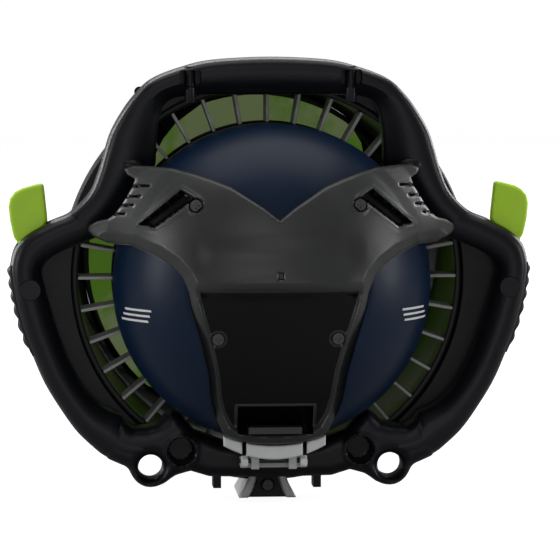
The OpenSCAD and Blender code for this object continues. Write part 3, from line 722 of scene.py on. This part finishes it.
def build_cover():
    """The three-armed cover: rails, sunk chin, slots, gills, screw seats and the hand recess."""
    outline = in_polygon(mirrored(COVER_EDGE))
    chin = in_polygon(mirrored(CHIN_EDGE))
    lower = to_line(LOWER_EDGE)
    vent = in_polygon(VENT)
    gills = [to_line([(x - w / 2, z), (x + w / 2, z - 1.6)]) for x, z, w in GILLS]

    def rail(ax, z, fall):
        """The bevel along the lower edge, which fades out towards the bottom."""
        bevel = np.clip((RAIL_WIDTH - lower(ax, z)) / RAIL_WIDTH, 0, 1)
        return fall * bevel * smoothstep((z + 112) / 25)

    def front(x, z, sd):
        ax = np.abs(x)
        d = cover_surface(x, z) - rail(ax, z, 7.0)
        d = d - CHIN_SUNK * chin_sink(chin(x, z), z, 5.0, 4.5)
        slot = vent(ax, z)
        d = d - VENT_DEEP * smoothstep(slot / 1.9) + 0.7 * np.exp(-((slot + 1.5) / 0.8) ** 2)
        for gill in gills:
            d = d - GILL_DEEP * smoothstep((1.25 - gill(ax, z)) / 0.8)
        for (cx, cz), deep in ((UPPER_SCREW, 3.4), (LOWER_SCREW, 1.2)):
            hole = SCREW_SEAT_R - np.hypot(ax - cx, z - cz)
            d = d - deep * smoothstep(hole / 0.8) + 0.5 * np.exp(-((hole + 0.9) / 0.7) ** 2)
        hand = hand_recess(ax, z)
        d = d - HAND_DEEP * smoothstep(hand / 1.2) + 0.8 * np.exp(-((hand + 1.2) / 0.9) ** 2)
        d = d - WINDOW_DEEP * smoothstep(status_window(ax, z) / 0.6)
        return d - rounded(sd, 1.6)

    def back(x, z, sd):
        ax = np.abs(x)
        d = cover_surface(x, z) - 5 - rail(ax, z, 2.5)
        d = d - CHIN_SUNK * chin_sink(chin(x, z), z, 2.0, 3.0)
        d = d - HAND_DEEP * smoothstep((hand_recess(ax, z) + 2) / 1.2)
        return d - 3 * smoothstep(vent(ax, z) + 1)

    # Painted shade: the floors and walls of the vent slots, gills, upper screw seats and hand recess take black
    # gloss where shade falls in them. The status window's faces take it as well.
    def dark(x, z):
        ax = np.abs(x)
        holes = [vent(ax, z) - 0.8] + [0.8 - gill(ax, z) for gill in gills]
        holes.append(4.9 - np.hypot(ax - UPPER_SCREW[0], z - UPPER_SCREW[1]))
        holes += [hand_recess(ax, z, 0.4), status_window(ax, z, 0.2)]
        return np.max(holes, axis=0)

    obj = relief("nose_cover_skin", (-140, 140, -123, 92), 1.0, outline, front, back, dark)
    finish_piece(obj, "hull", "cover_plastic", "nose_cover", second="black_gloss")


def build_chin_panel():
    """The glossy black panel let into the chin, around the hand recess and the lower screws."""
    chin = in_polygon(mirrored(CHIN_EDGE))

    def inside(x, z):
        ax = np.abs(x)
        panel = np.minimum(chin(x, z) - 8.6, 1 - z)
        panel = np.minimum(panel, np.hypot(ax - LOWER_SCREW[0], z - LOWER_SCREW[1]) - 6.2)
        return np.minimum(panel, -hand_recess(ax, z) - 1.6)

    def front(x, z, sd):
        sink = chin_sink(chin(x, z), z, 5.0, 4.5)
        return cover_surface(x, z) - CHIN_SUNK * sink + 0.5 - rounded(sd, 0.5)

    def back(x, z, sd):
        return front(x, z, sd) - 1.2

    obj = relief("chin_panel", (-70, 70, -116, 4), 1.0, inside, front, back)
    finish_piece(obj, "hull", "black_gloss")


STRIPE_WIDE, STRIPE_TALL, STRIPE_LIFT, STRIPE_T = 18, 1.6, 0.25, 0.2


def build_stripes():
    """Three plain slanted stripes on each cheek of the dome."""
    for side, tag in SIDES:
        for k in range(3):
            x0, z0 = 92 + k, -16 - 4 * k
            bm = bmesh.new()
            rows = []
            for i in range(13):
                row = []
                for j in range(5):
                    x = x0 + STRIPE_WIDE * i / 12 + 0.25 * STRIPE_TALL * j / 4
                    z = z0 + STRIPE_TALL * j / 4
                    r = math.hypot(x, z)
                    d = DOME_SEAT + DOME_DEPTH * math.sqrt(1 - (r / DOME_R) ** 2)
                    n = np.array((
                        x / DOME_R ** 2, -(d - DOME_SEAT) / DOME_DEPTH ** 2, z / DOME_R ** 2,
                    ))
                    n = n / np.linalg.norm(n) * STRIPE_LIFT
                    row.append(bm.verts.new(place(side * (x + n[0]), MID_Y - d + n[1], z + n[2])))
                rows.append(row)
            for a, b in zip(rows, rows[1:]):
                for p in range(4):
                    bm.faces.new((a[p], a[p + 1], b[p + 1], b[p]))
            bmesh.ops.recalc_face_normals(bm, faces=bm.faces)
            bmesh.ops.solidify(bm, geom=list(bm.faces), thickness=STRIPE_T * MM)
            bmesh.ops.recalc_face_normals(bm, faces=bm.faces)
            finish_piece(add_mesh(f"stripe_{tag}_{k}", bm), "hull", "light_plastic")


# ---- Triggers, flap, foot and propeller ----

PADDLE = [
    (173, 31), (170, 38), (166, 45), (166.2, 49), (168.2, 68), (168.8, 72.3), (170.5, 73.4),
    (174, 72.8), (185, 69.8), (190, 67), (193.8, 62.5), (195, 57), (194, 46), (191.4, 34),
    (189.8, 31), (186.5, 29),
]
PADDLE_HALF, PADDLE_EDGE, TRIGGER_HUB_R, TRIGGER_BORE_R = 3.0, 2.4, 5.0, 2.05


def build_trigger(side, name):
    """A thumb paddle with rounded edges and a shallow dish, on the hub it turns on."""
    flat = in_polygon([(side * x, z) for x, z in PADDLE])

    def dish(x, z):
        return 1.0 * np.exp(-((np.abs(x) - 181) / 9) ** 2 - ((z - 58) / 11) ** 2)

    def front(x, z, sd):
        return PADDLE_HALF - rounded(sd, PADDLE_EDGE) - dish(x, z) * 0.6

    def back(x, z, sd):
        return -PADDLE_HALF + rounded(sd, PADDLE_EDGE) + dish(x, z)

    low, high = (161, 198) if side > 0 else (-198, -161)
    paddle = relief(f"{name}_paddle", (low, high, 24, 76), 0.8, flat, front, back)
    finish_piece(paddle, name, "trigger_lime")

    def rod(title, radius, start, end):
        ends = [(side * x, MID_Y, z) for x, z in (along_pin(start), along_pin(end))]
        return cylinder_mesh(title, radius, *ends)

    hub = rod(f"{name}_hub", TRIGGER_HUB_R, -13, 10)
    boolean(hub, rod("bore", TRIGGER_BORE_R, -20, 20))
    finish_piece(hub, name, "trigger_lime", name)


CLAW_X, CLAW_R, CLAW_HALF_WIDTH, CLAW_HALF_T = 22, 3.9, 2.6, 1.3
CLAW_SECTION = (
    (-1, -0.7), (-0.7, -1), (0.7, -1), (1, -0.7), (1, 0.7), (0.7, 1), (-0.7, 1), (-1, 0.7),
)


def build_flap():
    """The light grey crescent over the charging port, with its two hinge claws."""
    pivot = joint_place("charge_flap_open")
    flap_y, flap_z = pivot[1] / MM, pivot[2] / MM - AXIS_Z

    def inside(x, z):
        top = -118.6 + 6.8 * (x / 36) ** 2
        low = -129 + 9 * (x / 35) ** 2
        plate = np.minimum(np.minimum(top - z, z - low) * 0.95, 38 - np.abs(x))
        notch = np.maximum(np.abs(np.abs(x) - 22.5) - 1.5, -125.5 - z)
        return np.minimum(plate, notch)

    def front(x, z, sd):
        return MID_Y - flap_y + 11 - rounded(sd, 1.5)

    def back(x, z, sd):
        return MID_Y - flap_y + 7 + rounded(sd, 0.8)

    plate = relief("charge_flap_skin", (-40, 40, -130, -109), 0.6, inside, front, back)
    finish_piece(plate, "charge_flap", "light_plastic", "charge_flap")
    for side, tag in SIDES:
        middle = side * CLAW_X
        rings = []
        for k in range(15):
            a = math.radians(-100 + 245 * k / 14)
            cy, cz = flap_y - CLAW_R * math.sin(a), flap_z - CLAW_R * math.cos(a)
            ny, nz = -math.sin(a), -math.cos(a)
            rings.append([
                (middle + w * CLAW_HALF_WIDTH, cy + ny * t * CLAW_HALF_T, cz + nz * t * CLAW_HALF_T)
                for w, t in CLAW_SECTION
            ])
        finish_piece(loft(f"flap_claw_{tag}", rings), "charge_flap", "light_plastic")
        arm = box_mesh(f"flap_arm_{tag}", (middle - 2.4, flap_y - 11.2, flap_z - 2.5),
                       (middle + 2.4, flap_y - 3.5, flap_z + 2.8))
        finish_piece(arm, "charge_flap", "light_plastic")


HUB_R, PROP_Y, PROP_R, PITCH = 30, 92, 130, 150
ROOT_R, BLADE_WIDTH, BLADE_TURN, BLADES = 24, 106, -13, 3
BLADE_SKEW, ROOT_THICK, THINNING, SECTIONS = 22, 3.4, 2.2, 22


def blade_ring(s, spin_deg):
    """One section of a blade, from 0 at its root to 1 at its tip."""
    r = ROOT_R + (PROP_R - ROOT_R) * s
    spread = 0.55 + 0.45 * math.sin(math.radians(90 * min(1, s * 1.6)))
    w = BLADE_WIDTH * spread * math.sqrt(1 - s ** 7 * 0.72)
    skew, thick = BLADE_SKEW * s * s, ROOT_THICK - THINNING * s
    half = 14
    ring = []
    for k in range(2 * half):
        c = -1 + 2 * k / half if k < half else 1 - 2 * (k - half) / half
        face = 1 if k < half else -1
        a = math.radians(spin_deg + skew + c * w / 2)
        y = PROP_Y + c * w / 720 * PITCH + face * thick * math.sqrt(max(0.0, 1 - c * c))
        ring.append((r * math.sin(a), y, r * math.cos(a)))
    return ring


def build_propeller():
    """The hub, with the blades joined to it."""
    hub = turned("propeller_skin", [
        (4, 76), (HUB_R - 2, 76), (HUB_R - 0.6, 76.6), (HUB_R, 78), (HUB_R, 104), (HUB_R - 1, 107),
        (HUB_R - 4, 110.6), (HUB_R - 7, 112), (4, 112),
    ], 96)
    for k in range(BLADES):
        turn = BLADE_TURN + 360 / BLADES * k
        rings = [blade_ring(i / SECTIONS, turn) for i in range(SECTIONS + 1)]
        boolean(hub, loft("blade", rings, 60), "UNION")
    finish_piece(hub, "propeller", "propeller_green", "propeller")


FOOT_EDGE = [(13, -145), (14, -152), (17.5, -160), (22, -168)]
FOOT_GAP = [(7.5, -145), (8.2, -152), (10.5, -160), (14, -168)]
FOOT_FACE, PANEL_FACE, PANEL_BACK, DUCT_CUT_R = -18.1, -19.2, -24, 155.05


def build_foot():
    """The pedestal: two flared light legs with a dark panel and a screw between them."""
    flat = in_polygon(mirrored([(0, -145)] + FOOT_EDGE + [(0, -168)]))
    gap = in_polygon(mirrored([(0, -140)] + FOOT_GAP + [(0, -175)]))

    def front(x, z, sd):
        return FOOT_FACE - rounded(np.minimum(sd, 3), 2.6) - 4 * smoothstep((gap(x, z) + 1) / 1.2)

    def back(x, z, sd):
        return MID_Y + 0 * x

    legs = relief("foot_skin", (-24, 24, -169, -143), 0.8, flat, front, back)
    boolean(legs, cylinder_mesh("duct_cut", DUCT_CUT_R, (0, REAR_Y + 6, 0), (0, 30, 0), 256))
    finish_piece(legs, "hull", "light_plastic", "foot_pedestal")

    def panel(x, z):
        return np.minimum(gap(x, z) - 0.4, np.minimum(-146 - z, z + 167.4))

    def panel_front(x, z, sd):
        seat = 5.2 - np.hypot(x, z + 158)
        return PANEL_FACE - rounded(sd, 1.2) - 1.2 * smoothstep(seat / 0.8)

    def panel_back(x, z, sd):
        return PANEL_BACK + 0 * x

    plate = relief("foot_panel", (-16, 16, -169, -143), 0.7, panel, panel_front, panel_back)
    finish_piece(plate, "hull", "grip_rubber", "foot_insert")


# ---- Duct ----

DUCT_OUTER = [
    (148.6, -56), (151, -55.9), (153.8, -55), (155, -53), (155, -30), (152.4, 0), (149, 40),
    (146.8, 75), (144.5, 110), (141.2, 140), (139, 156), (138.2, 158.6), (136.8, 160),
]
DUCT_INNER = [
    (135.4, 160), (134.3, 159), (134, 157.5), (134, 144), (136, 134), (139.5, 112), (139.8, 75),
    (142, 40), (148, -30), (148, -54.6),
]


def with_grooves(line, places, width, depth):
    """Adds shallow grooves to a turned line at the given y values."""
    def r_at(y):
        return float(np.interp(y, [p[1] for p in line[4:]], [p[0] for p in line[4:]]))

    out = list(line)
    for y in places:
        out += [(r_at(y - width), y - width), (r_at(y) - depth, y - width * 0.55),
                (r_at(y) - depth, y + width * 0.55), (r_at(y + width), y + width)]
    head, rest = out[:4], sorted(out[4:], key=lambda p: p[1])
    return head + rest


def soft_section(r0, r1, y0, y1, soft=1.2):
    """A ring's section with its four corners broken."""
    near = soft * 0.3
    return [
        (r0, y0 + soft), (r0 + near, y0 + near), (r0 + soft, y0), (r1 - soft, y0),
        (r1 - near, y0 + near), (r1, y0 + soft), (r1, y1 - soft),
        (r1 - near, y1 - near), (r1 - soft, y1), (r0 + soft, y1),
        (r0 + near, y1 - near), (r0, y1 - soft),
    ]


def build_duct():
    """The duct's skin, and the two rings at each end of it."""
    outer = with_grooves(DUCT_OUTER, (-22, -16, 128, 134), 1.4, 1.1)
    skin = turned("duct_skin", outer + DUCT_INNER, 192)
    finish_piece(skin, "hull", "frame_plastic", "duct_shell")
    for name, node, rings in (
        ("guard_ring", "guard_rings", ((143, 147.9, -56, -30), (112.85, 117, -56, -30))),
        ("outlet_ring", "rear_ring", ((128, 133.9, 139, 158), (84, 88, 146, 154))),
    ):
        for tag, section in zip(("outer", "inner"), rings):
            ring = turned(f"{name}_{tag}", soft_section(*section), 160)
            finish_piece(ring, "hull", "frame_plastic", *([node] if tag == "outer" else []))


VANE_Y, VANE_HALF_T = 150, 1.5
INNER_VANES = (12, 4, 29.8, 84, 0)  # count, half a chord, radius from and to, lean in degrees
OUTER_VANES = (36, 15, 88, 128.9, 52)


def build_vanes():
    """Straight vanes round the tail and leaning ones outside them that close the view through."""
    bm = bmesh.new()
    for count, half_chord, r0, r1, lean in (INNER_VANES, OUTER_VANES):
        for k in range(count):
            turn, tilt = 2 * math.pi * k / count, math.radians(lean)
            ends = []
            for r in (r0, r1):
                ring = []
                for t, c in ((-1, -1), (1, -1), (1, 1), (-1, 1)):
                    along, across = c * half_chord, t * VANE_HALF_T
                    x = across * math.cos(tilt) - along * math.sin(tilt)
                    y = VANE_Y + across * math.sin(tilt) + along * math.cos(tilt)
                    ring.append(bm.verts.new(place(
                        x * math.cos(turn) + r * math.sin(turn), y,
                        r * math.cos(turn) - x * math.sin(turn),
                    )))
                ends.append(ring)
            low, high = ends
            bm.faces.new(low)
            bm.faces.new(reversed(high))
            for i in range(4):
                j = (i + 1) % 4
                bm.faces.new((low[i], high[i], high[j], low[j]))
    bmesh.ops.recalc_face_normals(bm, faces=bm.faces)
    finish_piece(add_mesh("rear_vanes_skin", bm), "hull", "frame_plastic", "rear_vanes")


build_arch()
build_handle(1, "handle_right")
build_handle(-1, "handle_left")
build_grips()
build_base()
build_cover()
build_chin_panel()
build_stripes()
build_trigger(1, "trigger_right")
build_trigger(-1, "trigger_left")
build_flap()
build_propeller()
build_foot()
build_duct()
build_vanes()

add_camera()
add_stage()
add_light("top", (0.0, 0.1, 2.6), (3.0, 2.0), 32)
add_light("front", (-0.5, -3.0, 1.6), (1.6, 1.2), 8)
add_light("left", (-2.2, -0.6, 0.4), (0.5, 1.6), 17)
add_light("right", (2.2, -0.6, 0.4), (0.5, 1.6), 17)
add_light("rim_left", (-1.7, 1.6, 0.6), (0.7, 1.6), 26)
add_light("rim_right", (1.7, 1.6, 0.6), (0.7, 1.6), 26)
add_light("back", (0.0, 2.4, 1.9), (2.6, 0.9), 36)
add_light("low", (0.0, -1.6, 0.14), (0.6, 0.16), 0.9, aim=(0, -0.1, 0.045))
add_world()
bpy.context.scene.view_settings.view_transform = "Standard"
dress_cad_nodes()
